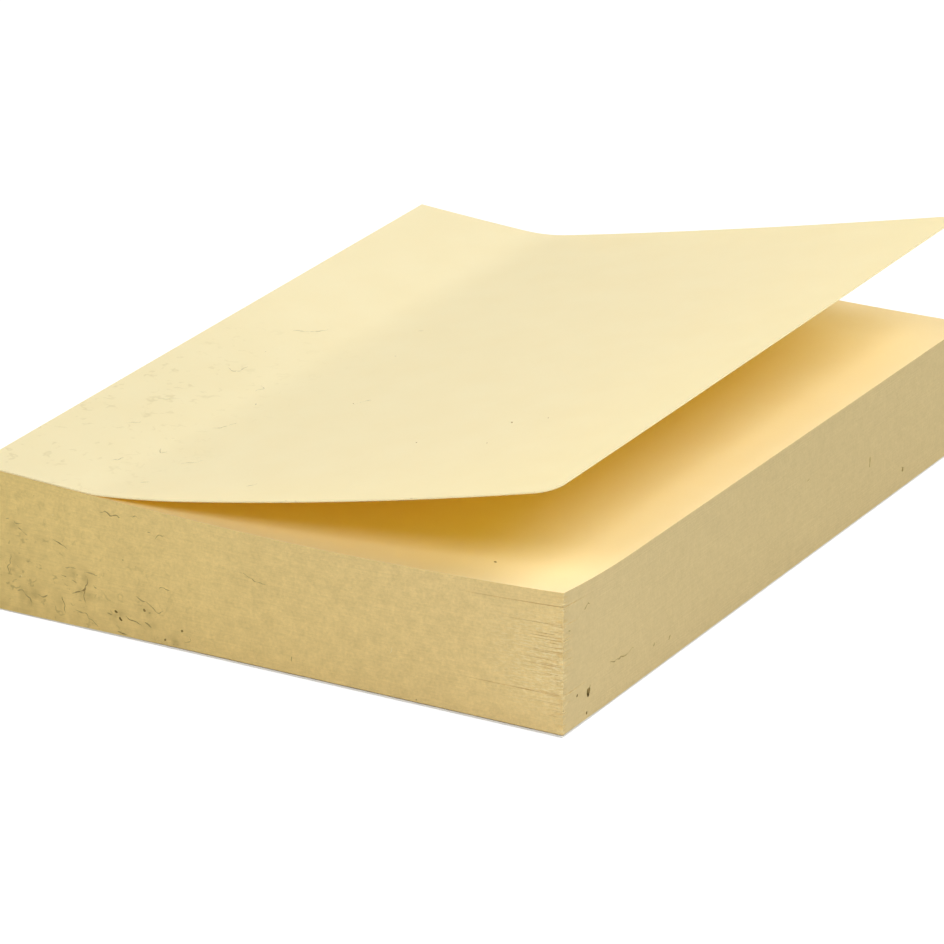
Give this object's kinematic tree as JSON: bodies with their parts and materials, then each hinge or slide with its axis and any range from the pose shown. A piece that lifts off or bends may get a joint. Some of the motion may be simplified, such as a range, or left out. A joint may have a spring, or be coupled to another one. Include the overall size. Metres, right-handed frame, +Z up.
{
  "type": "sticky note pad",
  "caption": "Small oblong block of pale yellow self-stick notes, glued along one long side, with its top note peeled up in a gentle curl from the other side.",
  "frame": {"origin": "on the table under the middle of the pad: centre of the bottom of the bounding box", "axes": "+Z up out of the pad; +Y along its longer side; +X from the glued long side to the free long side, where the top note stands up"},
  "size_m": [0.0382, 0.0508, 0.0146],
  "materials": {
    "note_paper": "uncoated pale yellow note paper, guillotine-cut edges",
    "top_note_paper": "uncoated pale yellow note paper, smooth matt face",
    "liner_paper": "white release-coated paper, faint sheen"
  },
  "bodies": {
    "root": {"note_block": "note_paper", "top_sheet": "top_note_paper", "backing_sheet": "liner_paper"}
  },
  "joints": []
}
